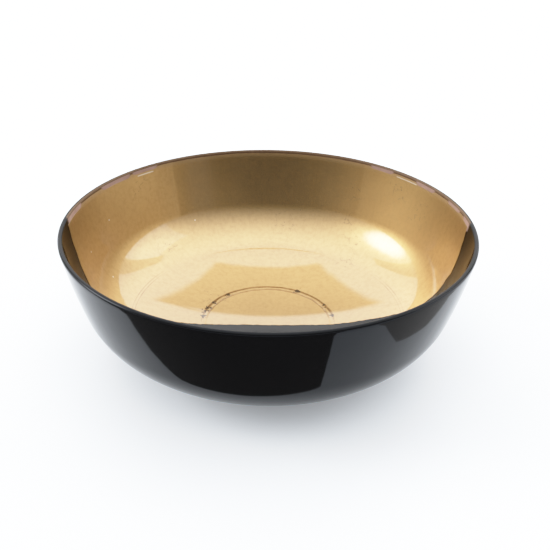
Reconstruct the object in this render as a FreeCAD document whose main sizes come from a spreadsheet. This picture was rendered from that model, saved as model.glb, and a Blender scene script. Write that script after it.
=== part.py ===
"""Half-gilded black lacquer bowl, built up the way the real one is made.

A thin turned wooden shell is glued to a turned foot base, whose round plug
fills the opening in the shell's floor.  Black lacquer covers the outside and
the rim in one coat and the inside in another.  Gold leaf lies over the inner
coat on one half of the bowl only, in three wall sheets and two floor sheets.

Frame: millimetres, +Z up, origin on the resting surface under the centre of
the bowl.  The gilded half is on the +Y side.

Every layer follows one outline made of three tangent arcs (floor, shoulder,
wall).  A layer lies between two curves at a stated depth inside that outline.
"""
import FreeCAD, Part
import math
import os

import Sketcher

SIZES = [
    ("rim_radius", 140.0, "outside radius where the wall meets the rounded lip"),
    ("lip_line_height", 92.2, "height of that place above the resting surface"),
    ("outline_low_height", 2.0, "height of the outline where it crosses the axis"),
    ("floor_arc_radius", 338.0, "outside arc of the floor"),
    ("floor_edge_radius", 98.5, "where the floor arc turns into the shoulder"),
    ("shoulder_arc_radius", 47.0, "outside arc of the shoulder"),
    ("wall_arc_radius", 397.0, "outside arc of the wall"),
    ("wall_thickness", 3.2, "shell and both lacquer coats together"),
    ("coat_thickness", 0.3, "one built-up lacquer coat"),
    ("leaf_thickness", 0.15, "gold leaf with its size and varnish"),
    ("plug_radius", 49.6, "joint between shell and foot base"),
    ("flange_radius", 53.0, "outer edge of the foot base against the shell"),
    ("standing_outer_radius", 50.5, "outer edge of the ring the bowl stands on"),
    ("standing_inner_radius", 45.5, "inner edge of that ring"),
    ("recess_height", 2.2, "underside of the foot base inside its ring"),
    ("leaf_top_height", 92.0, "upper edge of the wall leaf, just under the lip"),
    ("leaf_reach_angle", 4.4, "how far the wall leaf runs past the middle"),
    ("leaf_reach", 4.0, "how far the floor leaf runs past the middle"),
    ("back_sheet_angle", 60.0, "width of the back wall sheet"),
]

FULL_TURN = 360.0
HALF_TURN = 180.0
VERTICAL_AXIS = -2      # the sketch's own vertical axis, in Sketcher's numbering
ORIGIN_GEOMETRY = -1    # the sketch's origin point belongs to this geometry
START, END, CENTRE = 1, 2, 3

doc = FreeCAD.newDocument("half_gilded_bowl")


# ---------------------------------------------------------------- sizes

def make_sheet():
    sheet = doc.addObject("Spreadsheet::Sheet", "Sizes")
    for row, (alias, value, meaning) in enumerate(SIZES, start=1):
        sheet.set("A%d" % row, alias)
        sheet.set("B%d" % row, str(value))
        sheet.set("C%d" % row, meaning)
        sheet.setAlias("B%d" % row, alias)
    doc.recompute()
    return sheet


sheet = make_sheet()


def size(alias):
    return float(sheet.get(alias))


def vector(point):
    return FreeCAD.Vector(point[0], point[1], 0.0)


# ---------------------------------------------------------------- outline

def outline():
    """Centres, radii and joints of the three tangent arcs, as (r, z) points."""
    floor_r, shoulder_r, wall_r = (size("floor_arc_radius"), size("shoulder_arc_radius"),
                                   size("wall_arc_radius"))
    floor_c = (0.0, size("outline_low_height") + floor_r)
    turn = math.asin(size("floor_edge_radius") / floor_r)
    reach = floor_r - shoulder_r
    shoulder_c = (reach * math.sin(turn), floor_c[1] - reach * math.cos(turn))
    rim = (size("rim_radius"), size("lip_line_height"))
    # The wall centre is wall_r from the rim and wall_r - shoulder_r from the shoulder centre.
    dx, dz = rim[0] - shoulder_c[0], rim[1] - shoulder_c[1]
    gap = math.hypot(dx, dz)
    along = ((wall_r - shoulder_r) ** 2 - wall_r ** 2 + gap ** 2) / (2 * gap)
    across = math.sqrt((wall_r - shoulder_r) ** 2 - along ** 2)
    wall_c = (shoulder_c[0] + (along * dx - across * dz) / gap,
              shoulder_c[1] + (along * dz + across * dx) / gap)
    return [(floor_c, floor_r), (shoulder_c, shoulder_r), (wall_c, wall_r)]


ARCS = outline()


def angle_from(centre, point):
    return math.atan2(point[1] - centre[1], point[0] - centre[0])


def joint_angles():
    """Directions of the four arc ends: axis, floor end, shoulder end, lip line."""
    (floor_c, _), (shoulder_c, _), (wall_c, _) = ARCS
    rim = (size("rim_radius"), size("lip_line_height"))
    return [-math.pi / 2, angle_from(floor_c, shoulder_c),
            angle_from(wall_c, shoulder_c), angle_from(wall_c, rim)]


ANGLES = joint_angles()


def on_arc(index, depth, angle):
    centre, radius = ARCS[index]
    reach = radius - depth
    return (centre[0] + reach * math.cos(angle), centre[1] + reach * math.sin(angle))


def floor_angle_at(radius, depth):
    return -math.acos(radius / (ARCS[0][1] - depth))


def wall_angle_at(height, depth):
    centre, radius = ARCS[2]
    return math.asin((height - centre[1]) / (radius - depth))


# ---------------------------------------------------------------- sketch tools

def origin_plane(body, role):
    for feature in body.Origin.OriginFeatures:
        if feature.Role == role:
            return feature
    raise ValueError("no origin feature " + role)


def section_sketch(body, name):
    """A sketch in the XZ plane: its x is the radius and its y is the height."""
    sketch = body.newObject("Sketcher::SketchObject", name)
    sketch.AttachmentSupport = [(origin_plane(body, "XZ_Plane"), "")]
    sketch.MapMode = "FlatFace"
    return sketch


def bind(sketch, kind, *where, formula, value):
    """Add a named size to the sketch and bind it to a formula of the sheet."""
    index = sketch.addConstraint(Sketcher.Constraint(kind, *where, value))
    name = "size_%d" % index
    sketch.renameConstraint(index, name)
    sketch.setExpression("Constraints." + name, formula)


def bind_x(sketch, geometry, point, formula, value):
    bind(sketch, "DistanceX", ORIGIN_GEOMETRY, START, geometry, point,
         formula=formula, value=value)


def bind_y(sketch, geometry, point, formula, value):
    bind(sketch, "DistanceY", ORIGIN_GEOMETRY, START, geometry, point,
         formula=formula, value=value)


def tie(sketch, kind, *where):
    sketch.addConstraint(Sketcher.Constraint(kind, *where))


def add_line(sketch, first, last, construction=False):
    return sketch.addGeometry(Part.LineSegment(vector(first), vector(last)), construction)


def add_arc(sketch, centre, radius, start_angle, end_angle, construction=False):
    circle = Part.Circle(vector(centre), FreeCAD.Vector(0, 0, 1), radius)
    return sketch.addGeometry(Part.ArcOfCircle(circle, start_angle, end_angle), construction)


class Section:
    """The outline as construction arcs, with layer curves added inside it."""

    def __init__(self, body, name):
        self.sketch = section_sketch(body, name)
        self.arcs = [add_arc(self.sketch, centre, radius, ANGLES[i], ANGLES[i + 1], True)
                     for i, (centre, radius) in enumerate(ARCS)]
        self.rays = [self.add_ray(i) for i in range(len(ARCS))]
        self.fix_outline()

    def add_ray(self, index):
        """The line from an arc's centre to its far end, which every layer crosses squarely."""
        centre, _ = ARCS[index]
        ray = add_line(self.sketch, centre, on_arc(index, 0.0, ANGLES[index + 1]), True)
        tie(self.sketch, "Coincident", ray, START, self.arcs[index], CENTRE)
        tie(self.sketch, "Coincident", ray, END, self.arcs[index], END)
        return ray

    def fix_outline(self):
        sketch = self.sketch
        floor, shoulder, wall = self.arcs
        tie(sketch, "Tangent", floor, END, shoulder, START)
        tie(sketch, "Tangent", shoulder, END, wall, START)
        tie(sketch, "PointOnObject", floor, CENTRE, VERTICAL_AXIS)
        tie(sketch, "PointOnObject", floor, START, VERTICAL_AXIS)
        for arc, name in zip(self.arcs, ("floor", "shoulder", "wall")):
            alias = name + "_arc_radius"
            bind(sketch, "Radius", arc, formula="Sizes." + alias, value=size(alias))
        low = on_arc(0, 0.0, ANGLES[0])
        bind_y(sketch, floor, START, "Sizes.outline_low_height", low[1])
        bind_x(sketch, floor, END, "Sizes.floor_edge_radius", size("floor_edge_radius"))
        bind_x(sketch, wall, END, "Sizes.rim_radius", size("rim_radius"))
        bind_y(sketch, wall, END, "Sizes.lip_line_height", size("lip_line_height"))

    def layer_curve(self, depth_formula, depth, first, last, start_angle, end_angle):
        """Concentric arcs at a depth inside the outline, joined end to end."""
        sketch = self.sketch
        curve = []
        for index in range(first, last + 1):
            centre, radius = ARCS[index]
            begin = start_angle if index == first else ANGLES[index]
            finish = end_angle if index == last else ANGLES[index + 1]
            arc = add_arc(sketch, centre, radius - depth, begin, finish)
            tie(sketch, "Coincident", arc, CENTRE, self.arcs[index], CENTRE)
            if curve:
                tie(sketch, "Coincident", arc, START, curve[-1], END)
            else:
                alias = "Sizes." + ("floor", "shoulder", "wall")[index] + "_arc_radius"
                bind(sketch, "Radius", arc, formula="%s - (%s)" % (alias, depth_formula),
                     value=radius - depth)
            if index < last:
                tie(sketch, "PointOnObject", arc, END, self.rays[index])
            curve.append(arc)
        return curve

    def closing_line(self, first, first_end, last, last_end, first_point, last_point):
        line = add_line(self.sketch, first_point, last_point)
        tie(self.sketch, "Coincident", line, START, first, first_end)
        tie(self.sketch, "Coincident", line, END, last, last_end)
        return line

    def lip_arc(self, wall_arc, depth):
        """A half-round lip centred in the middle of the wall's thickness."""
        middle = on_arc(2, size("wall_thickness") / 2, ANGLES[3])
        radius = size("wall_thickness") / 2 - depth
        lip = add_arc(self.sketch, middle, radius, ANGLES[3], ANGLES[3] + math.pi)
        tie(self.sketch, "Coincident", lip, START, wall_arc, END)
        tie(self.sketch, "PointOnObject", lip, CENTRE, self.rays[2])
        return lip

    def free_lip_arc(self, wall_arc, depth_formula, depth):
        """The same lip where no inside curve meets its far end."""
        lip = self.lip_arc(wall_arc, depth)
        tie(self.sketch, "PointOnObject", lip, END, self.rays[2])
        bind(self.sketch, "Radius", lip, formula="Sizes.wall_thickness / 2 - (%s)" % depth_formula,
             value=size("wall_thickness") / 2 - depth)
        return lip


# Depths inside the outline, each as a formula of the sheet and as a number.
FACE_OUTSIDE = ("0", 0.0)
WOOD_OUTSIDE = ("Sizes.coat_thickness", size("coat_thickness"))
WOOD_INSIDE = ("Sizes.wall_thickness - Sizes.coat_thickness",
               size("wall_thickness") - size("coat_thickness"))
COAT_INSIDE = ("Sizes.wall_thickness", size("wall_thickness"))
LEAF_INSIDE = ("Sizes.wall_thickness + Sizes.leaf_thickness",
               size("wall_thickness") + size("leaf_thickness"))


# ---------------------------------------------------------------- body tools

def new_body(label):
    body = doc.addObject("PartDesign::Body", label)
    body.Label = label
    return body


def revolve(body, sketch, angle=FULL_TURN, formula=None):
    """Turn the section about the bowl's axis."""
    turned = body.newObject("PartDesign::Revolution", body.Label + "_turned")
    turned.Profile = sketch
    turned.ReferenceAxis = (sketch, ["V_Axis"])
    turned.Angle = angle
    if formula:
        turned.setExpression("Angle", formula)
    sketch.Visibility = False
    body.Tip = turned
    return turned


def turn_about_axis(body, degrees, formula):
    body.Placement = FreeCAD.Placement(FreeCAD.Vector(0, 0, 0),
                                       FreeCAD.Rotation(FreeCAD.Vector(0, 0, 1), degrees))
    body.setExpression("Placement.Rotation.Angle", formula)


# ---------------------------------------------------------------- wood

def bowl_shell():
    """The turned shell: floor with a round opening, shoulder, wall and half-round lip."""
    body = new_body("bowl_shell")
    section = Section(body, "shell_section")
    sketch = section.sketch
    plug = size("plug_radius")
    curves = []
    for formula, depth in (WOOD_OUTSIDE, WOOD_INSIDE):
        start = floor_angle_at(plug, depth)
        curve = section.layer_curve(formula, depth, 0, 2, start, ANGLES[3])
        bind_x(sketch, curve[0], START, "Sizes.plug_radius", plug)
        tie(sketch, "PointOnObject", curve[-1], END, section.rays[2])
        curves.append(curve)
    outside, inside = curves
    lip = section.lip_arc(outside[-1], WOOD_OUTSIDE[1])
    tie(sketch, "Coincident", lip, END, inside[-1], END)
    section.closing_line(outside[0], START, inside[0], START,
                         on_arc(0, WOOD_OUTSIDE[1], floor_angle_at(plug, WOOD_OUTSIDE[1])),
                         on_arc(0, WOOD_INSIDE[1], floor_angle_at(plug, WOOD_INSIDE[1])))
    revolve(body, sketch)
    return body


def foot_base():
    """The plug that fills the shell's opening, its glued flange and the standing ring."""
    body = new_body("foot_base")
    section = Section(body, "foot_section")
    sketch = section.sketch
    plug, flange = size("plug_radius"), size("flange_radius")
    recess = size("recess_height")
    top = section.layer_curve(*WOOD_INSIDE, 0, 0, ANGLES[0], floor_angle_at(plug, WOOD_INSIDE[1]))
    tie(sketch, "PointOnObject", top[0], START, VERTICAL_AXIS)
    bind_x(sketch, top[0], END, "Sizes.plug_radius", plug)
    seat = section.layer_curve(*WOOD_OUTSIDE, 0, 0, floor_angle_at(plug, WOOD_OUTSIDE[1]),
                               floor_angle_at(flange, WOOD_OUTSIDE[1]))
    bind_x(sketch, seat[0], START, "Sizes.plug_radius", plug)
    bind_x(sketch, seat[0], END, "Sizes.flange_radius", flange)
    plug_top = on_arc(0, WOOD_INSIDE[1], floor_angle_at(plug, WOOD_INSIDE[1]))
    plug_low = on_arc(0, WOOD_OUTSIDE[1], floor_angle_at(plug, WOOD_OUTSIDE[1]))
    flange_top = on_arc(0, WOOD_OUTSIDE[1], floor_angle_at(flange, WOOD_OUTSIDE[1]))
    section.closing_line(top[0], END, seat[0], START, plug_top, plug_low)
    corners = [flange_top, (size("standing_outer_radius"), 0.0),
               (size("standing_inner_radius"), 0.0), (size("standing_inner_radius"), recess),
               (0.0, recess), on_arc(0, WOOD_INSIDE[1], ANGLES[0])]
    lines = [add_line(sketch, a, b) for a, b in zip(corners, corners[1:])]
    side, standing, step, underside, axis = lines
    tie(sketch, "Coincident", side, START, seat[0], END)
    for before, after in zip(lines, lines[1:]):
        tie(sketch, "Coincident", before, END, after, START)
    tie(sketch, "Coincident", axis, END, top[0], START)
    tie(sketch, "Horizontal", standing)
    tie(sketch, "Vertical", step)
    tie(sketch, "Horizontal", underside)
    tie(sketch, "PointOnObject", underside, END, VERTICAL_AXIS)
    tie(sketch, "PointOnObject", standing, START, ORIGIN_GEOMETRY)
    bind_x(sketch, standing, START, "Sizes.standing_outer_radius", size("standing_outer_radius"))
    bind_x(sketch, standing, END, "Sizes.standing_inner_radius", size("standing_inner_radius"))
    bind_y(sketch, underside, END, "Sizes.recess_height", recess)
    revolve(body, sketch)
    return body


# ---------------------------------------------------------------- lacquer

def outer_lacquer():
    """The outside coat, from the foot up the wall and over the lip to its inner edge."""
    body = new_body("outer_lacquer")
    section = Section(body, "outer_coat_section")
    sketch = section.sketch
    flange = size("flange_radius")
    ends = []
    for formula, depth in (FACE_OUTSIDE, WOOD_OUTSIDE):
        start = floor_angle_at(flange, depth)
        curve = section.layer_curve(formula, depth, 0, 2, start, ANGLES[3])
        bind_x(sketch, curve[0], START, "Sizes.flange_radius", flange)
        tie(sketch, "PointOnObject", curve[-1], END, section.rays[2])
        lip = section.free_lip_arc(curve[-1], formula, depth)
        ends.append((curve[0], lip, on_arc(0, depth, start),
                     on_arc(2, size("wall_thickness") - depth, ANGLES[3])))
    (face, face_lip, face_low, face_top), (back, back_lip, back_low, back_top) = ends
    section.closing_line(face, START, back, START, face_low, back_low)
    section.closing_line(face_lip, END, back_lip, END, face_top, back_top)
    revolve(body, sketch)
    return body


def inner_lacquer():
    """The inside coat, over shell and plug alike, from the axis up to the lip line."""
    body = new_body("inner_lacquer")
    section = Section(body, "inner_coat_section")
    sketch = section.sketch
    curves = []
    for formula, depth in (WOOD_INSIDE, COAT_INSIDE):
        curve = section.layer_curve(formula, depth, 0, 2, ANGLES[0], ANGLES[3])
        tie(sketch, "PointOnObject", curve[0], START, VERTICAL_AXIS)
        tie(sketch, "PointOnObject", curve[-1], END, section.rays[2])
        curves.append(curve)
    back, face = curves
    section.closing_line(back[0], START, face[0], START, on_arc(0, WOOD_INSIDE[1], ANGLES[0]),
                         on_arc(0, COAT_INSIDE[1], ANGLES[0]))
    section.closing_line(back[-1], END, face[-1], END, on_arc(2, WOOD_INSIDE[1], ANGLES[3]),
                         on_arc(2, COAT_INSIDE[1], ANGLES[3]))
    revolve(body, sketch)
    return body


# ---------------------------------------------------------------- gold leaf

def wall_leaf(label, start, start_formula, width, width_formula):
    """One sheet of leaf over shoulder and wall, from one direction round to another."""
    body = new_body(label)
    section = Section(body, label + "_section")
    sketch = section.sketch
    top = size("leaf_top_height")
    curves = []
    for formula, depth in (COAT_INSIDE, LEAF_INSIDE):
        curve = section.layer_curve(formula, depth, 1, 2, ANGLES[1], wall_angle_at(top, depth))
        tie(sketch, "PointOnObject", curve[0], START, section.rays[0])
        bind_y(sketch, curve[-1], END, "Sizes.leaf_top_height", top)
        curves.append(curve)
    back, face = curves
    section.closing_line(back[0], START, face[0], START, on_arc(1, COAT_INSIDE[1], ANGLES[1]),
                         on_arc(1, LEAF_INSIDE[1], ANGLES[1]))
    section.closing_line(back[-1], END, face[-1], END,
                         on_arc(2, COAT_INSIDE[1], wall_angle_at(top, COAT_INSIDE[1])),
                         on_arc(2, LEAF_INSIDE[1], wall_angle_at(top, LEAF_INSIDE[1])))
    revolve(body, sketch, width, width_formula)
    turn_about_axis(body, start, start_formula)
    return body


def floor_leaf(label, from_axis):
    """A sheet of floor leaf, inside or outside the joint, cut straight across the middle."""
    body = new_body(label)
    section = Section(body, label + "_section")
    sketch = section.sketch
    plug = size("plug_radius")
    points, curves = [], []
    for formula, depth in (COAT_INSIDE, LEAF_INSIDE):
        joint = floor_angle_at(plug, depth)
        start, end = (ANGLES[0], joint) if from_axis else (joint, ANGLES[1])
        arc = section.layer_curve(formula, depth, 0, 0, start, end)[0]
        if from_axis:
            tie(sketch, "PointOnObject", arc, START, VERTICAL_AXIS)
        else:
            tie(sketch, "PointOnObject", arc, END, section.rays[0])
        bind_x(sketch, arc, END if from_axis else START, "Sizes.plug_radius", plug)
        curves.append(arc)
        points.append((on_arc(0, depth, start), on_arc(0, depth, end)))
    (back_start, back_end), (face_start, face_end) = points
    section.closing_line(curves[0], START, curves[1], START, back_start, face_start)
    section.closing_line(curves[0], END, curves[1], END, back_end, face_end)
    turned = revolve(body, sketch)
    doc.recompute()
    whole = turned.Shape.Volume
    cut = trim_front(body)
    doc.recompute()
    if not 0.4 * whole < cut.Shape.Volume < 0.7 * whole:
        raise ValueError(label + " was not trimmed to a little over half")
    return body


def trim_front(body):
    """Cut away all that lies further forward than the leaf's straight front edge."""
    sketch = body.newObject("Sketcher::SketchObject", body.Label + "_front")
    sketch.AttachmentSupport = [(origin_plane(body, "XY_Plane"), "")]
    sketch.MapMode = "FlatFace"
    reach, rim = size("leaf_reach"), size("rim_radius")
    corners = [(-rim, -rim), (rim, -rim), (rim, -reach), (-rim, -reach)]
    lines = [add_line(sketch, corners[i], corners[(i + 1) % 4]) for i in range(4)]
    for i, line in enumerate(lines):
        tie(sketch, "Coincident", line, END, lines[(i + 1) % 4], START)
        tie(sketch, "Horizontal" if i % 2 == 0 else "Vertical", line)
    bind_x(sketch, lines[0], START, "-Sizes.rim_radius", -rim)
    bind_y(sketch, lines[0], START, "-Sizes.rim_radius", -rim)
    bind_x(sketch, lines[2], START, "Sizes.rim_radius", rim)
    bind_y(sketch, lines[2], START, "-Sizes.leaf_reach", -reach)
    cut = body.newObject("PartDesign::Pocket", body.Label + "_trimmed")
    cut.Profile = sketch
    cut.Type = "ThroughAll"
    cut.Reversed = True
    body.Tip = cut
    return cut


def gold_leaf():
    reach, back = size("leaf_reach_angle"), size("back_sheet_angle")
    side = (HALF_TURN - back) / 2
    side_formula = "(180 deg - Sizes.back_sheet_angle * 1 deg) / 2"
    reach_formula = "Sizes.leaf_reach_angle * 1 deg"
    wide_formula = "%s + %s" % (side_formula, reach_formula)
    return [
        wall_leaf("leaf_wall_right", -reach, "-" + reach_formula, side + reach, wide_formula),
        wall_leaf("leaf_wall_back", side, side_formula, back, "Sizes.back_sheet_angle * 1 deg"),
        wall_leaf("leaf_wall_left", side + back,
                  side_formula + " + Sizes.back_sheet_angle * 1 deg", side + reach, wide_formula),
        floor_leaf("leaf_floor", False),
        floor_leaf("leaf_centre", True),
    ]


# ---------------------------------------------------------------- check and write

def check(parts):
    for item in doc.Objects:
        if "Invalid" in item.State or "Error" in item.State:
            raise RuntimeError("failed object: " + item.Label)
    for part in parts:
        if part.Shape.isNull() or not part.Shape.isValid():
            raise RuntimeError("bad shape: " + part.Label)
        if len(part.Shape.Solids) != 1:
            raise RuntimeError("not one solid: " + part.Label)


def main():
    parts = [bowl_shell(), foot_base(), outer_lacquer(), inner_lacquer()] + gold_leaf()
    doc.recompute()
    check(parts)
    os.makedirs("parts", exist_ok=True)
    for part in parts:
        part.Shape.exportStep("parts/%s.step" % part.Label)
        box = part.Shape.BoundBox
        print("%-16s volume %9.1f  z %.2f to %.2f  y %.2f to %.2f  x %.2f to %.2f" % (
            part.Label, part.Shape.Volume, box.ZMin, box.ZMax, box.YMin, box.YMax,
            box.XMin, box.XMax))


main()
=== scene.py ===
"""Looks for the half-gilded black lacquer bowl: lathed lacquer coats, gold leaf sheets, studio.

Metres, +Z up, origin on the resting surface under the bowl's centre. The gilded half is at +Y.
The bowl's outline is three tangent arcs; every layer is a curve at a stated depth inside it.
"""

import math

import bmesh
import bpy
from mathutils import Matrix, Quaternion, Vector, noise


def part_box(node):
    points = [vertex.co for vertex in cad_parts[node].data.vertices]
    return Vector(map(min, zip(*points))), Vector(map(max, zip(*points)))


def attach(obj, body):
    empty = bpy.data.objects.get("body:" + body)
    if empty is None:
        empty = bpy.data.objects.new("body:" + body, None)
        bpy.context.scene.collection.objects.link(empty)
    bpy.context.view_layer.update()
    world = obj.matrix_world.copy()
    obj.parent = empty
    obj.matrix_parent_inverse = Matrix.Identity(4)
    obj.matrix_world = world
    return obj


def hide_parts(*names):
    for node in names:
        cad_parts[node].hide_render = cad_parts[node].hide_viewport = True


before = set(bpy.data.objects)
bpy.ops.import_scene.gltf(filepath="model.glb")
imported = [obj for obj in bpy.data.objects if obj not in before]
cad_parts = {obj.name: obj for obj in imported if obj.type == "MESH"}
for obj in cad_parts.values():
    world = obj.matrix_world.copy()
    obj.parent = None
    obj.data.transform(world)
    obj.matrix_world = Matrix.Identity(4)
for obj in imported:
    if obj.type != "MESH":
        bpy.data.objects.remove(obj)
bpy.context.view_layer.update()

MM = 0.001
FULL_TURN = 2 * math.pi

# The outline's driving sizes. The rim's radius and height come from the outer lacquer in model.glb.
RIM_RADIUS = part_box("outer_lacquer")[1].x
TOP_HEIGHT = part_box("outer_lacquer")[1].z
PLUG_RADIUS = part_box("leaf_centre")[1].x
WALL_THICKNESS = 3.2 * MM
COAT = 0.3 * MM
LEAF = 0.15 * MM
LEAF_DEPTH = WALL_THICKNESS + LEAF
LIP_LINE_HEIGHT = TOP_HEIGHT - 1.87 * MM
OUTLINE_LOW = 2.0 * MM
FLOOR_ARC = 338 * MM
FLOOR_EDGE = 98.5 * MM
SHOULDER_ARC = 47 * MM
WALL_ARC = 397 * MM
FLANGE_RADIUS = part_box("foot_base")[1].x

# The leaf's edges.
LEAF_TOP = 92.3 * MM
# How far each wall leaf runs past the bowl's middle: (height, degrees), from the floor up.
FRONT_EDGE = {"left": ((16 * MM, 6.3), (45 * MM, 6.2), (60 * MM, 5.9), (78 * MM, 4.4), (92 * MM, 3.0)),
              "right": ((16 * MM, 2.4), (38 * MM, 1.9), (49 * MM, 2.2), (60 * MM, 3.6),
                        (70 * MM, 3.4), (82 * MM, 2.2), (92 * MM, 1.1))}
CENTRE_REACH = {"left": 5.6 * MM, "right": 3.4 * MM}
JOINT_GAP = 0.06 * MM
INNER_LINE_RADIUS = PLUG_RADIUS - 3.1 * MM
LINE_HALF_WIDTH = 0.30 * MM
SEAM_RADIUS = FLOOR_EDGE

# Where the leaf's upper edge is torn: from, to (radians round from the right), depth in mm.
TEARS = ((-0.10, 0.08, 1.9), (0.12, 0.28, 1.3), (0.40, 0.58, 1.7), (0.74, 0.92, 1.6),
         (2.30, 2.50, 1.4), (2.50, 2.76, 2.0), (2.96, 3.26, 2.0))

# Clusters of specks and cracks in the leaf: degrees round from the right, radius, height (mm).
MARKS = ((39, 135, 81), (57, 132, 69), (56, 123, 40), (52, 117, 32), (84, 120, 35), (77, 126, 47),
         (48, 97, 20), (28, 132, 70), (143, 54, 10), (137, 116, 31), (141, 134, 78))

# Pale nibs of dust in the varnish, and painted highlights along the leaf's torn edge.
DUST = ((158.6, 131.7, 67.8), (174.6, 129.6, 59.0), (170.5, 118.8, 34.0), (121.1, 123.7, 41.5))
EDGE_HIGHLIGHTS = ((32.5, 41.0, 90.0), (134.5, 140.5, 88.8))

# Dark tears between the two ring lines: degrees round from the right, size in mm.
RING_TEARS = ((10, 2.2), (26, 2.4), (61, 2.8), (131, 1.9), (149, 2.4), (160, 2.8), (165, 3.0),
              (174, 2.2))

# The surround's brightness, where 1 is a mid-bright grey and 3 or more shows as white.
FRONT_LIGHT = 0.02
BACK_LIGHT = 3.8
SIDE_LIGHT = 1.6
LAMP_LIGHT = 13.0
STUDIO_RADIUS = 14.0
STUDIO_SEGMENTS = 96
# The paper lies this far below the bowl's resting surface, and the cards this far above it.
PAPER_DROP = 0.2 * MM
CARD_LIFT = 0.4 * MM

# How finely the meshes are divided, and the angle from which an edge is left sharp.
BOWL_SEGMENTS = 288
FOOT_SEGMENTS = 192
WALL_COLUMNS_PER_RADIAN = 150
WALL_ROWS = 120
FLOOR_COLUMNS = 360
FLOOR_ROWS = 60
CENTRE_COLUMNS = 256
CENTRE_ROWS = 150
SHARP_EDGE = math.radians(40)

# ---------------------------------------------------------------- outline

def outline():
    """Centres and radii of the floor, shoulder and wall arcs, as (r, z) points."""
    floor_c = (0.0, OUTLINE_LOW + FLOOR_ARC)
    turn = math.asin(FLOOR_EDGE / FLOOR_ARC)
    reach = FLOOR_ARC - SHOULDER_ARC
    shoulder_c = (reach * math.sin(turn), floor_c[1] - reach * math.cos(turn))
    dx, dz = RIM_RADIUS - shoulder_c[0], LIP_LINE_HEIGHT - shoulder_c[1]
    gap = math.hypot(dx, dz)
    along = ((WALL_ARC - SHOULDER_ARC) ** 2 - WALL_ARC ** 2 + gap ** 2) / (2 * gap)
    across = math.sqrt((WALL_ARC - SHOULDER_ARC) ** 2 - along ** 2)
    wall_c = (shoulder_c[0] + (along * dx - across * dz) / gap,
              shoulder_c[1] + (along * dz + across * dx) / gap)
    return ((floor_c, FLOOR_ARC), (shoulder_c, SHOULDER_ARC), (wall_c, WALL_ARC))


ARCS = outline()


def direction(centre, point):
    return math.atan2(point[1] - centre[1], point[0] - centre[0])


BREAKS = (-math.pi / 2, direction(ARCS[0][0], ARCS[1][0]), direction(ARCS[2][0], ARCS[1][0]),
          direction(ARCS[2][0], (RIM_RADIUS, LIP_LINE_HEIGHT)))
LENGTHS = tuple(ARCS[i][1] * (BREAKS[i + 1] - BREAKS[i]) for i in range(3))
FULL_LENGTH = sum(LENGTHS)


def on_outline(travel, depth):
    """The (r, z) point at a depth inside the outline, travel along it from the axis."""
    for i, length in enumerate(LENGTHS):
        if travel <= length or i == 2:
            break
        travel -= length
    centre, radius = ARCS[i]
    angle = BREAKS[i] + travel / radius
    return (centre[0] + (radius - depth) * math.cos(angle),
            centre[1] + (radius - depth) * math.sin(angle))


def travel_at_radius(radius, depth):
    """Where along the floor arc a curve at that depth has that radius."""
    return (math.asin(radius / (FLOOR_ARC - depth))) * FLOOR_ARC


def travel_at_height(height, depth):
    """Where along the wall arc a curve at that depth has that height."""
    centre, radius = ARCS[2]
    angle = math.asin((height - centre[1]) / (radius - depth))
    return LENGTHS[0] + LENGTHS[1] + (angle - BREAKS[2]) * radius


def layer_curve(depth, start, end, step=2.0 * MM):
    count = max(2, round((end - start) / step))
    return [on_outline(start + (end - start) * i / count, depth) for i in range(count + 1)]


def lip_curve(depth, steps=14):
    """Half-round lip, from the outside face over the top to the inside face."""
    centre, radius = ARCS[2]
    angle = BREAKS[3]
    middle = (centre[0] + (radius - WALL_THICKNESS / 2) * math.cos(angle),
              centre[1] + (radius - WALL_THICKNESS / 2) * math.sin(angle))
    reach = WALL_THICKNESS / 2 - depth
    return [(middle[0] + reach * math.cos(angle + math.pi * i / steps),
             middle[1] + reach * math.sin(angle + math.pi * i / steps))
            for i in range(1, steps)]


# ---------------------------------------------------------------- mesh tools

def finish_piece(mesh_tool, name, material, node):
    """Write the mesh, smooth it, and say what it rides on and stands for."""
    mesh = bpy.data.meshes.new(name)
    bmesh.ops.recalc_face_normals(mesh_tool, faces=mesh_tool.faces)
    mesh_tool.to_mesh(mesh)
    mesh_tool.free()
    mesh.shade_smooth()
    mesh.set_sharp_from_angle(angle=SHARP_EDGE)
    mesh.materials.append(material)
    piece = bpy.data.objects.new(name, mesh)
    bpy.context.scene.collection.objects.link(piece)
    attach(piece, "root")
    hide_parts(node)


def lathe(section, segments, waver=None):
    """Turn a closed loop of (r, z) points about the axis, sharing one vertex where r is 0.

    waver moves a point a little.
    """
    tool = bmesh.new()
    uv = tool.loops.layers.uv.new("UVMap")
    tiny = 1e-7
    rings = []
    for r, z in section:
        if r < tiny:
            rings.append([tool.verts.new((0, 0, z))] * segments)
            continue
        ring = []
        for k in range(segments):
            angle = FULL_TURN * k / segments
            place = Vector((r * math.cos(angle), r * math.sin(angle), z))
            ring.append(tool.verts.new(waver(place) if waver else place))
        rings.append(ring)
    travel = [0.0]
    for (r0, z0), (r1, z1) in zip(section, section[1:] + section[:1]):
        travel.append(travel[-1] + math.hypot(r1 - r0, z1 - z0))
    for i, ring in enumerate(rings):
        after = rings[(i + 1) % len(rings)]
        for k in range(segments):
            corners = [(ring[k], k, i), (ring[(k + 1) % segments], k + 1, i),
                       (after[(k + 1) % segments], k + 1, i + 1), (after[k], k, i + 1)]
            kept = []
            for corner in corners:
                if all(corner[0] is not other[0] for other in kept):
                    kept.append(corner)
            if len(kept) < 3:
                continue
            face = tool.faces.new([c[0] for c in kept])
            for loop, (_, turn, row) in zip(face.loops, kept):
                loop[uv].uv = (FULL_TURN * turn / segments * RIM_RADIUS, travel[row])
    return tool


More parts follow.
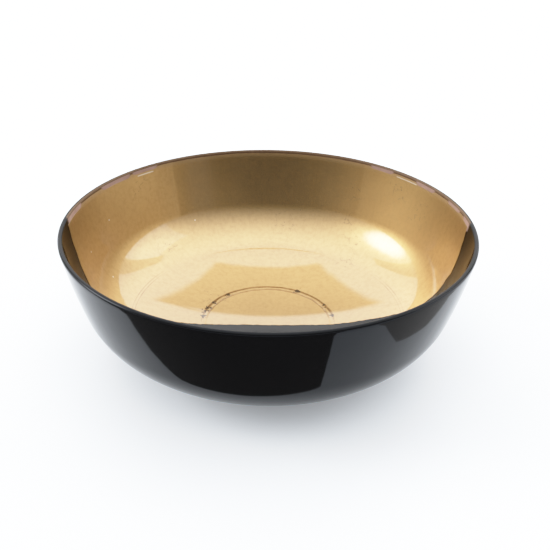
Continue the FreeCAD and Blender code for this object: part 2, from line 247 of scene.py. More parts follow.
def skin(columns, rows, place, back_depth):
    """A thin closed sheet: place(s, t, depth) gives a point and its (u, v) for s, t in 0..1."""
    tool = bmesh.new()
    uv = tool.loops.layers.uv.new("UVMap")
    where = {}
    sides = []
    for depth in (0.0, back_depth):
        grid = []
        for i in range(columns + 1):
            line = []
            for j in range(rows + 1):
                point, flat = place(i / columns, j / rows, depth)
                vert = tool.verts.new(point)
                where[vert] = flat
                line.append(vert)
            grid.append(line)
        sides.append(grid)
    front, back = sides
    faces = []
    for i in range(columns):
        for j in range(rows):
            for grid in sides:
                faces.append((grid[i][j], grid[i + 1][j], grid[i + 1][j + 1], grid[i][j + 1]))
    rim = ([(i, 0) for i in range(columns)] + [(columns, j) for j in range(rows)]
           + [(i, rows) for i in range(columns, 0, -1)] + [(0, j) for j in range(rows, 0, -1)])
    for (a, b), (c, d) in zip(rim, rim[1:] + rim[:1]):
        faces.append((front[a][b], front[c][d], back[c][d], back[a][b]))
    for corners in faces:
        face = tool.faces.new(corners)
        for loop in face.loops:
            loop[uv].uv = where[loop.vert]
    return tool


# ---------------------------------------------------------------- material tools

class Nodes:
    """A small helper that builds a node tree a line at a time, for a material or a world."""

    def __init__(self, owner):
        owner.use_nodes = True
        self.owner = owner
        self.tree = owner.node_tree
        self.shader = self.tree.nodes.get("Principled BSDF")
        where = self.add("ShaderNodeTexCoord")
        self.uv = where.outputs["UV"]
        self.place = where.outputs["Object"]
        # In a world, this is the direction looked in.
        self.outward = where.outputs["Generated"]

    def add(self, kind, **settings):
        node = self.tree.nodes.new(kind)
        for key, value in settings.items():
            setattr(node, key, value)
        return node

    def feed(self, socket, value):
        if isinstance(value, bpy.types.NodeSocket):
            self.tree.links.new(value, socket)
        else:
            socket.default_value = value

    def stretch(self, source, factors):
        node = self.add("ShaderNodeVectorMath", operation="MULTIPLY")
        self.feed(node.inputs[0], source)
        node.inputs[1].default_value = factors
        return node.outputs[0]

    def noise(self, source, scale, detail=3.0, roughness=0.5, distortion=0.0):
        node = self.add("ShaderNodeTexNoise")
        self.feed(node.inputs["Vector"], source)
        for name, value in (("Scale", scale), ("Detail", detail), ("Roughness", roughness),
                            ("Distortion", distortion)):
            node.inputs[name].default_value = value
        return node.outputs["Fac"]

    def cells(self, source, scale, feature="F1"):
        node = self.add("ShaderNodeTexVoronoi", feature=feature)
        self.feed(node.inputs["Vector"], source)
        node.inputs["Scale"].default_value = scale
        return node.outputs["Distance"]

    def remap(self, value, low, high, out_low=0.0, out_high=1.0, smooth=False):
        node = self.add("ShaderNodeMapRange")
        if smooth:
            node.interpolation_type = "SMOOTHSTEP"
        self.feed(node.inputs["Value"], value)
        for name, number in (("From Min", low), ("From Max", high), ("To Min", out_low),
                             ("To Max", out_high)):
            node.inputs[name].default_value = number
        return node.outputs["Result"]

    def maths(self, operation, first, second=0.0):
        node = self.add("ShaderNodeMath", operation=operation)
        self.feed(node.inputs[0], first)
        self.feed(node.inputs[1], second)
        return node.outputs[0]

    def mix(self, share, first, second):
        """Blend two colours. Inputs 6 and 7 and output 2 are the node's colour sockets."""
        node = self.add("ShaderNodeMix", data_type="RGBA")
        self.feed(node.inputs["Factor"], share)
        self.feed(node.inputs[6], first)
        self.feed(node.inputs[7], second)
        return node.outputs[2]

    def window(self, value, low, high, soft):
        """1 between low and high, falling to 0 over a width of soft outside them."""
        rise = self.remap(value, low - soft, low, smooth=True)
        fall = self.remap(value, high, high + soft, 1.0, 0.0, smooth=True)
        return self.maths("MULTIPLY", rise, fall)

    def away(self, point):
        """How far the surface point is from a given point."""
        node = self.add("ShaderNodeVectorMath", operation="DISTANCE")
        self.feed(node.inputs[0], self.place)
        node.inputs[1].default_value = point
        return node.outputs["Value"]

    def bump(self, height, distance):
        node = self.add("ShaderNodeBump")
        self.feed(node.inputs["Height"], height)
        node.inputs["Distance"].default_value = distance
        return node.outputs["Normal"]

    def set(self, **values):
        for name, value in values.items():
            self.feed(self.shader.inputs[name.replace("_", " ")], value)


def new_material(name):
    return Nodes(bpy.data.materials.new(name))


def grey(value):
    return (value, value, value, 1.0)


def polished_black(m, dull=0.0):
    """The body and polish that both black coats share: nearly a mirror, hazy where dull is 1."""
    cloud = m.noise(m.place, 14.0, detail=4.0)
    fine = m.noise(m.place, 900.0, detail=2.0)
    rough = m.maths("ADD", m.remap(cloud, 0.35, 0.7, 0.03, 0.075),
                    m.remap(fine, 0.4, 0.7, 0.0, 0.02))
    rough = m.maths("ADD", rough, m.maths("MULTIPLY", dull, 0.42))
    m.set(Roughness=rough, Normal=m.bump(m.noise(m.place, 70.0, detail=1.0), 0.04 * MM))
    return m.mix(cloud, (0.0012, 0.0011, 0.0012, 1), (0.0026, 0.0023, 0.0023, 1))


def worn_size(m):
    """Brown size, seen where the leaf over it is worn thin."""
    return m.mix(m.noise(m.place, 200.0), (0.085, 0.048, 0.026, 1), (0.15, 0.088, 0.046, 1))


def torn_size_and_painted_reflection(m):
    """The size under the leaf, brown where the leaf is worn thin, and a pale mauve where it is torn:
    partly the size's colour, partly a painted reflection of light on the bare gloss.
    """
    turned, _ = direction_and_height(m)
    torn = 0.0
    for start, end, _ in TEARS:
        torn = m.maths("MAXIMUM", torn, m.window(turned, start + 0.02, end - 0.02, 0.02))
    # Mauve size, painted paler to stand in for the light the bare lacquer reflects in the tears.
    mauve = m.mix(m.noise(m.place, 120.0), (0.24, 0.145, 0.115, 1), (0.40, 0.27, 0.225, 1))
    return m.mix(torn, worn_size(m), mauve)


def gilded_half(m):
    """1 on the gilded half, which begins just in front of the bowl's middle."""
    return m.remap(from_axis(m)[1], -6 * MM, -3 * MM)


def outside_lacquer_material():
    """Black lacquer outside, thinly varnished, duller on the lip, with size on its inner slope."""
    m = new_material("outside_lacquer")
    radius_here, _ = from_axis(m)
    _, z = direction_and_height(m)
    near_lip = m.remap(z, LEAF_TOP - 1.0 * MM, LEAF_TOP - 0.6 * MM)
    inside = m.remap(radius_here, RIM_RADIUS - 2.2 * MM, RIM_RADIUS - 1.9 * MM, 1.0, 0.0)
    handled = m.remap(radius_here, RIM_RADIUS - 1.2 * MM, RIM_RADIUS - 0.6 * MM, 1.0, 0.0)
    share = m.maths("MULTIPLY", m.maths("MULTIPLY", inside, near_lip), gilded_half(m))
    dull = m.maths("MULTIPLY", handled, near_lip)
    m.set(Base_Color=m.mix(share, polished_black(m, dull), worn_size(m)))
    m.set(Specular_IOR_Level=0.12, Specular_Tint=(0.88, 0.96, 1.08, 1))
    return m.owner


def inside_lacquer_material():
    """Black lacquer inside, with the size that held the leaf left bare at the lip, and a painted
    reflection where the leaf is torn.
    """
    m = new_material("inside_lacquer")
    _, z = direction_and_height(m)
    ragged_z = m.maths("ADD", z, m.remap(m.noise(m.place, 160.0), 0.3, 0.7, -0.3 * MM, 0.3 * MM))
    band = m.remap(ragged_z, LEAF_TOP - 5.2 * MM, LEAF_TOP - 4.8 * MM)
    share = m.maths("MULTIPLY", band, gilded_half(m))
    m.set(Base_Color=m.mix(share, polished_black(m), torn_size_and_painted_reflection(m)), Specular_IOR_Level=0.17)
    return m.owner


def foot_lacquer_material():
    """Satin black over turned wood, with fine turning lines showing through."""
    m = new_material("foot_lacquer")
    rings = m.noise(m.stretch(m.uv, (4.0, 1400.0, 0.0)), 1.0, detail=2.0)
    cloud = m.noise(m.place, 45.0, detail=5.0)
    colour = m.mix(cloud, (0.008, 0.007, 0.007, 1), (0.02, 0.017, 0.015, 1))
    m.set(Base_Color=colour, Roughness=m.remap(cloud, 0.3, 0.7, 0.22, 0.4))
    m.set(Normal=m.bump(rings, 0.05 * MM))
    return m.owner


def wood_material():
    """Turned lime wood under the lacquer: pale, with fine grain along one direction."""
    m = new_material("turned_wood")
    grain = m.noise(m.stretch(m.place, (30.0, 260.0, 260.0)), 1.0, detail=6.0, distortion=0.6)
    tone = m.noise(m.place, 9.0, detail=2.0)
    colour = m.mix(grain, (0.50, 0.34, 0.19, 1), (0.70, 0.53, 0.34, 1))
    m.set(Base_Color=m.mix(tone, colour, (0.60, 0.43, 0.27, 1)),
          Roughness=m.remap(grain, 0, 1, 0.5, 0.7))
    m.set(Normal=m.bump(grain, 0.1 * MM))
    return m.owner


def leaf_material(name):
    """Gold leaf under clear varnish: softly mottled metal, thin cracks, specks, a glassy coat."""
    m = new_material(name)
    broad = m.noise(m.place, 16.0, detail=3.0)
    mottle = m.noise(m.place, 300.0, detail=3.0, roughness=0.6)
    streaks = m.noise(m.stretch(m.uv, (420.0, 26.0, 0.0)), 1.0, detail=3.0)
    gold = m.mix(m.remap(broad, 0.3, 0.7), (0.50, 0.322, 0.132, 1), (0.54, 0.35, 0.146, 1))
    gold = m.mix(m.remap(mottle, 0.42, 0.72, 0.0, 0.3), gold, (0.34, 0.205, 0.078, 1))
    gold = m.mix(m.remap(streaks, 0.5, 0.8, 0.0, 0.16), gold, (0.32, 0.195, 0.078, 1))
    lines, tears = joint_marks(m)
    gold = m.mix(lines, gold, (0.20, 0.10, 0.024, 1))
    gold = m.mix(tears, gold, (0.03, 0.018, 0.006, 1))
    gold = m.mix(seam_mark(m), gold, (0.26, 0.15, 0.065, 1))
    worn = m.maths("MAXIMUM", crack_mask(m), speck_mask(m))
    colour = m.mix(worn, gold, (0.02, 0.013, 0.009, 1))
    # Pale dust nibs, together with the painted highlights along the torn edge.
    dust = m.maths("MAXIMUM", dust_mask(m), edge_highlight_mask(m))
    colour = m.mix(dust, colour, (0.80, 0.72, 0.58, 1))
    # A warm band painted below the lip, standing in for the light the lip catches from above.
    thin = lip_band_painted_light(m)
    colour = m.mix(thin, colour, (0.27, 0.16, 0.085, 1))
    bare = m.maths("MAXIMUM", m.maths("MAXIMUM", worn, dust), thin)
    rough = m.maths("ADD", m.remap(mottle, 0.3, 0.7, 0.37, 0.43), m.remap(broad, 0.3, 0.7, 0.0, 0.04))
    m.set(Base_Color=colour, Roughness=rough, Metallic=m.maths("SUBTRACT", 1.0, bare),
          Coat_Weight=1.0, Coat_Roughness=0.015, Coat_IOR=1.6)
    m.set(Normal=m.bump(streaks, 0.02 * MM))
    return m.owner


def from_axis(m):
    """Distance from the bowl's axis, and how far the point is behind the bowl's middle."""
    flat = m.stretch(m.place, (1.0, 1.0, 0.0))
    size = m.add("ShaderNodeVectorMath", operation="LENGTH")
    m.feed(size.inputs[0], flat)
    split = m.add("ShaderNodeSeparateXYZ")
    m.feed(split.inputs[0], m.place)
    return size.outputs["Value"], split.outputs["Y"]


def ring_line(m, radius_here, radius, half_width):
    """1 on a circle about the axis, fading out over half_width."""
    off = m.maths("ABSOLUTE", m.maths("SUBTRACT", radius_here, radius))
    return m.remap(off, half_width * 0.3, half_width, 1.0, 0.0, smooth=True)


def joint_marks(m):
    """Brown lines where leaf dips into the joint and the turned line, and tears between them."""
    radius_here, behind = from_axis(m)
    wander = m.remap(m.noise(m.place, 90.0, detail=2.0), 0.3, 0.7, -0.3 * MM, 0.3 * MM)
    moved = m.maths("ADD", radius_here, wander)
    outer = ring_line(m, moved, PLUG_RADIUS, 1.5 * MM)
    inner = ring_line(m, moved, INNER_LINE_RADIUS, 1.2 * MM)
    patchy = m.remap(m.noise(m.place, 150.0, detail=2.0), 0.3, 0.6, 0.55, 1.0)
    faded = m.remap(behind, 1 * MM, 12 * MM)
    lines = m.maths("MAXIMUM", outer, m.maths("MULTIPLY", inner, 0.8))
    lines = m.maths("MULTIPLY", m.maths("MULTIPLY", lines, patchy), faded)
    tears = 0.0
    ring_height = on_outline(travel_at_radius(PLUG_RADIUS, LEAF_DEPTH), LEAF_DEPTH)[1]
    middle = PLUG_RADIUS - 0.5 * MM
    uneven = m.remap(m.noise(m.place, 520.0, detail=2.0), 0.3, 0.7, -0.9, 0.9)
    for degrees, size in RING_TEARS:
        turn = math.radians(degrees)
        reach = m.away((middle * math.cos(turn), middle * math.sin(turn), ring_height))
        spot = m.maths("ADD", m.maths("MULTIPLY", reach, 1 / (size * MM)), uneven)
        tears = m.maths("MAXIMUM", tears, m.remap(spot, 0.55, 0.85, 1.0, 0.0))
    return lines, m.maths("MULTIPLY", tears, 0.85)


def seam_mark(m):
    """The faint double line where the floor and wall sheets lap, seen only near the front."""
    radius_here, behind = from_axis(m)
    first = ring_line(m, radius_here, SEAM_RADIUS + 1.4 * MM, 0.5 * MM)
    second = ring_line(m, radius_here, SEAM_RADIUS - 0.6 * MM, 0.5 * MM)
    patchy = m.remap(m.noise(m.place, 60.0), 0.4, 0.6, 0.2, 0.8)
    near_front = m.remap(behind, 55 * MM, 30 * MM)
    both = m.maths("MAXIMUM", first, second)
    return m.maths("MULTIPLY", m.maths("MULTIPLY", both, patchy), near_front)


def around(m, places, size):
    """1 near any of the places (degrees round, radius, height in mm), 0 past size from them."""
    share = 0.0
    for degrees, radius, height in places:
        turn = math.radians(degrees)
        point = (radius * MM * math.cos(turn), radius * MM * math.sin(turn), height * MM)
        away = m.maths("MULTIPLY", m.away(point), 1 / size)
        share = m.maths("MAXIMUM", share, m.remap(away, 0.5, 1.0, 1.0, 0.0))
    return share


def direction_and_height(m):
    """How far round from the right, from -90 to 270 degrees in radians, and the height."""
    split = m.add("ShaderNodeSeparateXYZ")
    m.feed(split.inputs[0], m.place)
    x, y, z = split.outputs
    return m.maths("SUBTRACT", math.pi / 2, m.maths("ARCTAN2", x, y)), z


def dust_mask(m):
    """A few pale nibs of dust caught in the varnish."""
    return around(m, DUST, 0.75 * MM)


def edge_highlight_mask(m):
    """Thin painted highlights along the leaf's torn edge, where the lip catches the light."""
    turned, z = direction_and_height(m)
    share = 0.0
    for first, last, height in EDGE_HIGHLIGHTS:
        along = m.window(turned, math.radians(first), math.radians(last), 0.01)
        across = m.window(z, (height - 0.25) * MM, (height + 0.25) * MM, 0.3 * MM)
        share = m.maths("MAXIMUM", share, m.maths("MULTIPLY", along, across))
    return m.maths("MULTIPLY", share, 0.8)


def lip_band_painted_light(m):
    """Painted light: a warm, less metallic band below the lip, standing in for the light the curved lip
    catches from above.
    """
    _, z = direction_and_height(m)
    return m.remap(z, 87.5 * MM, 92.0 * MM, 0.0, 0.55, smooth=True)


def crack_mask(m):
    """Fine branching cracks where the leaf has wrinkled, only in a few places."""
    warp = m.add("ShaderNodeVectorMath", operation="ADD")
    wave = m.add("ShaderNodeTexNoise")
    m.feed(wave.inputs["Vector"], m.place)
    wave.inputs["Scale"].default_value = 120.0
    shift = m.stretch(wave.outputs["Color"], (6 * MM, 6 * MM, 6 * MM))
    m.feed(warp.inputs[0], m.place)
    m.feed(warp.inputs[1], shift)
    edge = m.cells(warp.outputs[0], 95.0, feature="DISTANCE_TO_EDGE")
    line = m.remap(edge, 0.0, 0.03, 1.0, 0.0)
    where = m.maths("MULTIPLY", around(m, MARKS, 14.0 * MM), 0.5)
    broken = m.remap(m.noise(m.place, 300.0, detail=1.0), 0.45, 0.6)
    return m.maths("MULTIPLY", m.maths("MULTIPLY", line, where), broken)


def speck_mask(m):
    """Pinholes in loose clusters, showing the black beneath."""
    near = m.cells(m.place, 420.0)
    dot = m.remap(near, 0.10, 0.20, 1.0, 0.0)
    where = m.maths("MULTIPLY", around(m, MARKS, 9.0 * MM), 0.8)
    some = m.remap(m.noise(m.place, 260.0, detail=0.0), 0.54, 0.58)
    return m.maths("MULTIPLY", m.maths("MULTIPLY", dot, where), some)


# ---------------------------------------------------------------- pieces

def hand_waver(place):
    """The unevenness that hand polishing leaves: always inwards, under a tenth of a millimetre."""
    swell = noise.noise(place * 22.0) * 0.05 * MM
    radial = Vector((place.x, place.y, 0.0)).normalized()
    return place - radial * (abs(swell) + 0.03 * MM)


def outer_lacquer(material):
    """The black coat over the outside and round the lip."""
    start_face = travel_at_radius(FLANGE_RADIUS, 0.0)
    start_back = travel_at_radius(FLANGE_RADIUS, COAT)
    face = layer_curve(0.0, start_face, FULL_LENGTH)
    back = layer_curve(COAT, start_back, FULL_LENGTH)
    section = face + lip_curve(0.0) + [on_outline(FULL_LENGTH, WALL_THICKNESS)]
    section += [on_outline(FULL_LENGTH, WALL_THICKNESS - COAT)] + lip_curve(COAT)[::-1] + back[::-1]
    tool = lathe(section, BOWL_SEGMENTS, hand_waver)
    finish_piece(tool, "outside_lacquer", material, "outer_lacquer")


def inner_lacquer(material):
    """The black coat over the inside, also under the leaf."""
    face = layer_curve(WALL_THICKNESS, 0.0, FULL_LENGTH)
    back = layer_curve(WALL_THICKNESS - COAT, 0.0, FULL_LENGTH)
    tool = lathe(face + back[::-1], BOWL_SEGMENTS)
    finish_piece(tool, "inside_lacquer", material, "inner_lacquer")


def wooden_shell(material):
    """The turned wood between the two coats."""
    start_face = travel_at_radius(PLUG_RADIUS, COAT)
    start_back = travel_at_radius(PLUG_RADIUS, WALL_THICKNESS - COAT)
    face = layer_curve(COAT, start_face, FULL_LENGTH)
    back = layer_curve(WALL_THICKNESS - COAT, start_back, FULL_LENGTH)
    tool = lathe(face + lip_curve(COAT) + back[::-1], BOWL_SEGMENTS)
    finish_piece(tool, "turned_shell", material, "bowl_shell")


def rounded(corner, before, after, radius, steps=5):
    """A curve that rounds the corner between two straight runs."""
    to_before = Vector(before) - Vector(corner)
    to_after = Vector(after) - Vector(corner)
    first = Vector(corner) + to_before.normalized() * radius
    last = Vector(corner) + to_after.normalized() * radius
    points = []
    for i in range(steps + 1):
        t = i / steps
        near = first.lerp(Vector(corner), t)
        points.append(tuple(near.lerp(Vector(corner).lerp(last, t), t)))
    return points


def foot(material):
    """The turned base: plug, flange, tapered ring with softened edges, dished underside."""
    recess = 2.2 * MM
    ring_in = 45.5 * MM
    ring_out = 50.5 * MM
    outer_edge = 0.9 * MM
    inner_edge = 0.7 * MM
    recess_corner = 0.8 * MM
    groove_radii = (36 * MM, 22 * MM)
    # Each groove's cross-section: across and deep, in mm.
    groove = ((0.6, 0.0), (0.3, 0.25), (0.0, 0.35), (-0.3, 0.25), (-0.6, 0.0))
    plug_depth = WALL_THICKNESS - COAT
    top = layer_curve(plug_depth, 0.0, travel_at_radius(PLUG_RADIUS, plug_depth))
    seat = layer_curve(COAT, travel_at_radius(PLUG_RADIUS, COAT), travel_at_radius(FLANGE_RADIUS, COAT))
    section = top + seat
    section += rounded((ring_out, 0.0), seat[-1], (ring_in, 0.0), outer_edge)
    section += rounded((ring_in, 0.0), (ring_out, 0.0), (ring_in, recess), inner_edge)
    section += rounded((ring_in, recess), (ring_in, 0.0), (0.0, recess), recess_corner)
    for radius in groove_radii:
        for across, deep in groove:
            section.append((radius + across * MM, recess + deep * MM))
    section.append((0.0, recess))
    tool = lathe(section, FOOT_SEGMENTS)
    finish_piece(tool, "turned_foot", material, "foot_base")


# Where along the outline the floor sheet ends and the wall sheets begin.
LAP_TRAVEL = travel_at_radius(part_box("leaf_floor")[1].x, LEAF_DEPTH)


def leaf_point(angle, travel, depth, lift):
    """A point on the leaf: lift presses it down towards the coat, depth is its back's depth."""
    r, z = on_outline(travel, LEAF_DEPTH - depth - lift)
    return Vector((r * math.cos(angle), r * math.sin(angle), z)), (angle * RIM_RADIUS, travel)


def soft_wave(angle, travel):
    """Slow unevenness of the leaf's face, in metres, flat beside the lap at the floor's edge."""
    spot = Vector((angle * 6.0, travel * 45.0, 3.7))
    return abs(noise.noise(spot)) * 0.02 * MM * eased(abs(travel - LAP_TRAVEL), 0.0, 8 * MM)


def ragged(value, pitch, size, seed):
    """A torn edge: slow drift with small nicks."""
    drift = noise.noise(Vector((value * pitch, seed, 0.5)))
    nick = noise.noise(Vector((value * pitch * 5.0, seed, 7.5)))
    return (drift * 0.7 + nick * 0.3) * size


def eased(value, low, high):
    """0 below low, 1 above high, smooth between."""
    share = min(1.0, max(0.0, (value - low) / (high - low)))
    return share * share * (3 - 2 * share)


def front_angle(travel, side):
    """How far the wall leaf runs past the middle at that height, in radians."""
    height = on_outline(travel, LEAF_DEPTH)[1]
    points = FRONT_EDGE[side]
    degrees = points[0][1]
    for (low, first), (high, second) in zip(points, points[1:]):
        degrees += (second - first) * eased(height, low, high)
    return math.radians(degrees + ragged(travel, 70.0, 0.25, len(side)))


def leaf_top_travel(angle):
    """The wall leaf's upper edge: close to the lip, with long shallow tears either side."""
    top = travel_at_height(LEAF_TOP, LEAF_DEPTH)
    slope = 0.03
    stop_short = 0.5 * MM
    tear = 0.0
    for start, end, depth in TEARS:
        inside = min(eased(angle, start, start + slope), 1.0 - eased(angle, end - slope, end))
        tear = max(tear, depth * inside)
    return top - tear * MM - stop_short + ragged(angle, 9.0, 0.35 * MM, 1.3)


def wall_sheet(name, node, first, last, material, side=""):
    """One wall sheet, from its floor edge up to the torn top, between two directions."""
    low = LAP_TRAVEL

    def place(s, t, depth):
        rough_travel = low + (FULL_LENGTH - low) * t
        begin = first - (front_angle(rough_travel, side) if side == "right" else 0.0)
        end = last + (front_angle(rough_travel, side) if side == "left" else 0.0)
        angle = begin + (end - begin) * s
        travel = low + (leaf_top_travel(angle) - low) * t
        return leaf_point(angle, travel, depth, 0.0 if depth else soft_wave(angle, travel))

    tool = skin(round((last - first) * WALL_COLUMNS_PER_RADIAN), WALL_ROWS, place, LEAF)
    finish_piece(tool, name, material, node)


def floor_sheet(material):
    """The half ring of leaf between the joint line and the wall sheets."""
    low = travel_at_radius(PLUG_RADIUS + JOINT_GAP, LEAF_DEPTH)
    high = LAP_TRAVEL

    def place(s, t, depth):
        travel = low + (high - low) * t
        radius = on_outline(travel, LEAF_DEPTH)[0]
        out = (radius - PLUG_RADIUS) / (SEAM_RADIUS - PLUG_RADIUS)
        reach = {}
        for side in ("left", "right"):
            at_seam = SEAM_RADIUS * math.sin(math.radians(FRONT_EDGE[side][0][1]))
            reach[side] = (CENTRE_REACH[side] * (1 - out) + at_seam * out
                           + ragged(radius, 260.0, 0.8 * MM, len(side)))
        begin = -math.asin(reach["right"] / radius)
        end = math.pi + math.asin(reach["left"] / radius)
        angle = begin + (end - begin) * s
        return leaf_point(angle, travel, depth, 0.0 if depth else soft_wave(angle, travel))

    tool = skin(FLOOR_COLUMNS, FLOOR_ROWS, place, LEAF)
    finish_piece(tool, "floor_leaf_sheet", material, "leaf_floor")


def centre_edge(x):
    """The centre leaf's front edge: on the middle line, bending forward at both ends."""
    side = "right" if x > 0 else "left"
    return -CENTRE_REACH[side] * (x / PLUG_RADIUS) ** 2 + ragged(x, 260.0, 0.7 * MM, 4.2)


def centre_sheet(material):
    """The half disc inside the joint, with one fine turned line near its edge."""
    limit = PLUG_RADIUS - JOINT_GAP
    widest = 0.4 * MM
    line_depth = 0.10 * MM
    # These keep the sheet open at its two ends, where the half disc narrows to a point.
    end_gap = 0.002 * MM
    end_width = 0.02 * MM
    tiny = 1e-6

    def place(s, t, depth):
        x = (limit - end_gap) * math.cos(math.pi * (1 - s))
        low = centre_edge(x)
        high = max(math.sqrt(limit ** 2 - x ** 2), low + widest * (1 - abs(x) / limit) + end_width)
        y = low + (high - low) * t
        radius = math.hypot(x, y)
        across = abs(radius - INNER_LINE_RADIUS) / LINE_HALF_WIDTH
        sunk = line_depth * max(0.0, 1.0 - across) if depth == 0.0 else 0.0
        travel = travel_at_radius(max(radius, tiny), LEAF_DEPTH)
        r, z = on_outline(travel, LEAF_DEPTH - depth - sunk)
        share = r / radius if radius > tiny else 1.0
        return Vector((x * share, y * share, z)), (x, y)

    tool = skin(CENTRE_COLUMNS, CENTRE_ROWS, place, LEAF)
    finish_piece(tool, "centre_leaf_sheet", material, "leaf_centre")


# ---------------------------------------------------------------- studio

def floor_material():
    """Pale, faintly cool matte paper that glows a little, as on a light table."""
    m = new_material("studio_floor")
    soft = m.noise(m.place, 3.0, detail=2.0)
    m.set(Base_Color=m.mix(soft, (0.82, 0.87, 0.93, 1), (0.84, 0.89, 0.95, 1)), Roughness=0.6)
    m.set(Emission_Color=(0.92, 0.96, 1.0, 1), Emission_Strength=0.19)
    return m.owner


def stage_piece(name, tool, material, height):
    """A studio object that isn't part of the bowl."""
    mesh = bpy.data.meshes.new(name)
    tool.to_mesh(mesh)
    tool.free()
    mesh.shade_smooth()
    mesh.materials.append(material)
    piece = bpy.data.objects.new(name, mesh)
    piece.location.z = height
    bpy.context.scene.collection.objects.link(piece)
    return piece


def card(name, darkest, palest, corners):
    """A card on the floor, out of the picture, seen only in reflections: a painted reflection of shade
    on the table.
    """
    m = new_material(name)
    m.set(Base_Color=m.mix(m.noise(m.place, 9.0), grey(darkest), grey(palest)), Roughness=0.8)
    tool = bmesh.new()
    tool.faces.new([tool.verts.new((x * RIM_RADIUS, y * RIM_RADIUS, 0.0)) for x, y in corners])
    piece = stage_piece(name, tool, m.owner, CARD_LIFT)
    piece.visible_camera = False
    piece.visible_diffuse = False
    piece.visible_shadow = False


def cards():
    """A charcoal card across the front and a grey one at the right, in rim radii: they paint the
    lacquer's reflection of the table darker, standing in for the table's shade.
    """
    card("front_shade_card", 0.08, 0.11, ((-3.4, -0.53), (0.33, -0.995), (2.15, -3.4), (-3.4, -3.4)))
    card("right_shade_card", 0.34, 0.46, ((0.95, -0.80), (1.15, -0.50), (1.55, -0.05), (2.2, -0.6),
                                   (1.5, -1.5), (1.05, -1.2)))


def studio():
    """A wide pale floor and a pale wall far round it, under a surround that is dim in front."""
    paper = floor_material()
    disc = bmesh.new()
    bmesh.ops.create_circle(disc, cap_ends=True, segments=STUDIO_SEGMENTS, radius=STUDIO_RADIUS)
    stage_piece("studio_floor", disc, paper, -PAPER_DROP)
    ring = bmesh.new()
    bmesh.ops.create_cone(ring, cap_ends=False, segments=STUDIO_SEGMENTS, radius1=STUDIO_RADIUS,
                          radius2=STUDIO_RADIUS, depth=STUDIO_RADIUS)
    wall = stage_piece("studio_wall", ring, paper, STUDIO_RADIUS / 2 - PAPER_DROP)
    light_passes(wall)
    bpy.context.scene.world = surround()


def light_passes(piece):
    """Let the surround's light through, so that the piece neither shades nor colours the bowl."""
    piece.visible_diffuse = False
    piece.visible_glossy = False
    piece.visible_shadow = False


def toward(azimuth, raised):
    """The direction at an azimuth and a height above the horizon, both in degrees."""
    turn = math.radians(azimuth)
    lift = math.radians(raised)
    flat = Vector((math.sin(turn), -math.cos(turn), 0.0))
    return flat * math.cos(lift) + Vector((0, 0, math.sin(lift)))


def surround():
    """Soft light from behind, above and both sides. Azimuth 0 is in front, +90 to the right.

    It has a dark gap high behind, a dim stretch at each rear corner, a brighter panel at the
    right and a soft lamp at the left.
    """
    world = bpy.data.worlds.new("studio")
    w = Nodes(world)
    split = w.add("ShaderNodeSeparateXYZ")
    w.feed(split.inputs[0], w.outward)
    x, y, z = split.outputs
    lean = w.maths("ADD", z, w.maths("MULTIPLY", y, 0.8))
    level = w.remap(lean, -0.45, 1.27, FRONT_LIGHT, BACK_LIGHT)
    azimuth = w.maths("ARCTAN2", x, w.maths("MULTIPLY", y, -1.0))
    turned = w.maths("ABSOLUTE", azimuth)
    raised = w.maths("ARCSINE", z)
    edge = math.radians(1.5)
    past_behind = 4.0
    below_floor = -1.0
    behind = w.maths("MULTIPLY", w.window(turned, math.radians(171), past_behind, edge),
                     w.window(raised, math.radians(38), math.radians(54), edge))
    corner = w.maths("MULTIPLY", w.window(turned, math.radians(119), math.radians(132), edge),
                     w.window(raised, below_floor, math.radians(50), edge))
    panel = w.maths("MULTIPLY", w.window(azimuth, math.radians(76), math.radians(117), edge),
                    w.window(raised, math.radians(2), math.radians(47), edge))
    level = w.maths("ADD", level, w.maths("MULTIPLY", panel, SIDE_LIGHT))
    level = w.maths("MULTIPLY", level, w.remap(behind, 0.0, 1.0, 1.0, 0.12))
    level = w.maths("MULTIPLY", level, w.remap(corner, 0.0, 1.0, 1.0, 0.35))
    near = w.add("ShaderNodeVectorMath", operation="DOT_PRODUCT")
    w.feed(near.inputs[0], w.outward)
    near.inputs[1].default_value = toward(-94, 26)
    glow = w.remap(near.outputs["Value"], math.cos(math.radians(19)), math.cos(math.radians(4)),
                   0.0, LAMP_LIGHT, smooth=True)
    w.feed(w.tree.nodes["Background"].inputs["Color"], w.maths("ADD", level, glow))
    return world


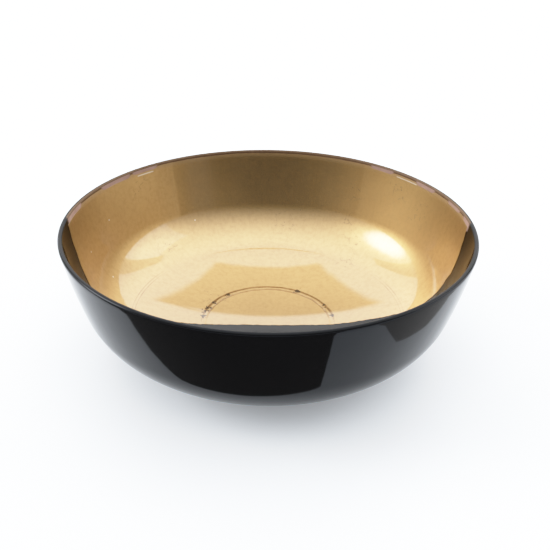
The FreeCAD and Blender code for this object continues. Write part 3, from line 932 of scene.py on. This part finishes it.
def soften_highlights(scene):
    """A film-like shoulder: bright tones roll off to white instead of clipping."""
    brightest = 4.0
    scene.view_settings.view_transform = "Standard"
    scene.view_settings.use_curve_mapping = True
    mapping = scene.view_settings.curve_mapping
    mapping.clip_max_x = brightest
    mapping.clip_max_y = 1.0
    curve = mapping.curves[3]
    curve.points[0].location = (0.0, 0.0)
    curve.points[1].location = (brightest, 1.0)
    for level, shown in ((0.2, 0.2), (0.5, 0.46), (0.75, 0.64), (1.04, 0.79),
                         (1.35, 0.88), (1.7, 0.945), (2.1, 0.985), (2.6, 1.0)):
        curve.points.new(level, shown)
    mapping.update()


def camera():
    """Above and in front, aimed a little right of and below the rim's centre."""
    lens = 43.94
    distance = 3.3 * RIM_RADIUS
    raised = math.radians(24.89)
    aim_right = 0.0334 * RIM_RADIUS
    aim_down = 0.3245 * RIM_RADIUS
    roll = math.radians(1.03)
    data = bpy.data.cameras.new("camera")
    data.lens = lens
    data.sensor_width = 36.0
    data.dof.use_dof = False
    seat = bpy.data.objects.new("camera", data)
    seat.location = (0, -distance * math.cos(raised), TOP_HEIGHT + distance * math.sin(raised))
    aim = Vector((aim_right, 0, TOP_HEIGHT - aim_down))
    look = (aim - seat.location).to_track_quat("-Z", "Y")
    seat.rotation_euler = (look @ Quaternion((0, 0, 1), roll)).to_euler()
    bpy.context.scene.collection.objects.link(seat)
    bpy.context.scene.camera = seat


def build():
    """Every piece of the bowl; the five leaf sheets share one material."""
    leaf = leaf_material("gold_leaf")
    outer_lacquer(outside_lacquer_material())
    inner_lacquer(inside_lacquer_material())
    wooden_shell(wood_material())
    foot(foot_lacquer_material())
    sixty = math.pi / 3
    wall_sheet("right_leaf_sheet", "leaf_wall_right", 0.0, sixty, leaf, side="right")
    wall_sheet("back_leaf_sheet", "leaf_wall_back", sixty, 2 * sixty, leaf)
    wall_sheet("left_leaf_sheet", "leaf_wall_left", 2 * sixty, math.pi, leaf, side="left")
    floor_sheet(leaf)
    centre_sheet(leaf)


build()
studio()
cards()
camera()
soften_highlights(bpy.context.scene)
